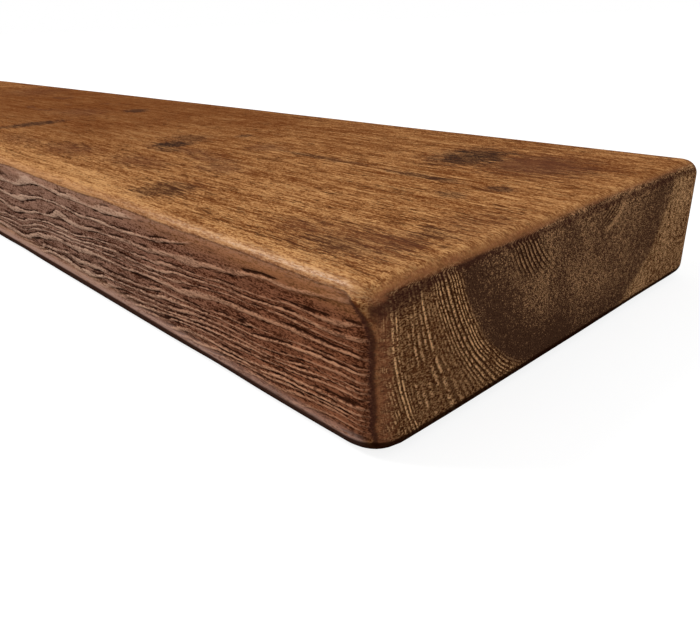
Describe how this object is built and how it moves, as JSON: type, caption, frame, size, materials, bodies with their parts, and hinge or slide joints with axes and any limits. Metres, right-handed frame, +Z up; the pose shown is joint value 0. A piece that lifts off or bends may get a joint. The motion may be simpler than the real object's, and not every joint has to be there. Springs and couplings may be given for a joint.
{
  "type": "floating shelf",
  "caption": "Thick stained timber floating shelf with hand-rounded edges, pushed onto concealed steel rods that stand out of wall plates.",
  "frame": {"origin": "on the wall plane, in the middle of the board's back, half way up its thickness", "axes": "+X along the board to the right as seen from the front, +Y into the wall, +Z up"},
  "size_m": [0.9, 0.17, 0.044],
  "materials": {
    "stained_pine": "stained and waxed, satin",
    "zinc_plated_steel": "bright zinc plated",
    "blackened_steel": "black oxide"
  },
  "bodies": {
    "wall_supports": {"support_plate_left": "zinc_plated_steel", "support_rod_left": "zinc_plated_steel", "rod_screw_left": "blackened_steel", "support_plate_centre": "zinc_plated_steel", "support_rod_centre": "zinc_plated_steel", "rod_screw_centre": "blackened_steel", "support_plate_right": "zinc_plated_steel", "support_rod_right": "zinc_plated_steel", "rod_screw_right": "blackened_steel"},
    "board": {"shelf_board": "stained_pine"}
  },
  "joints": [
    {"name": "board_pull", "type": "slide", "parent": "wall_supports", "child": "board", "axis": [0, -1, 0], "range_m": [0, 0.14]}
  ]
}
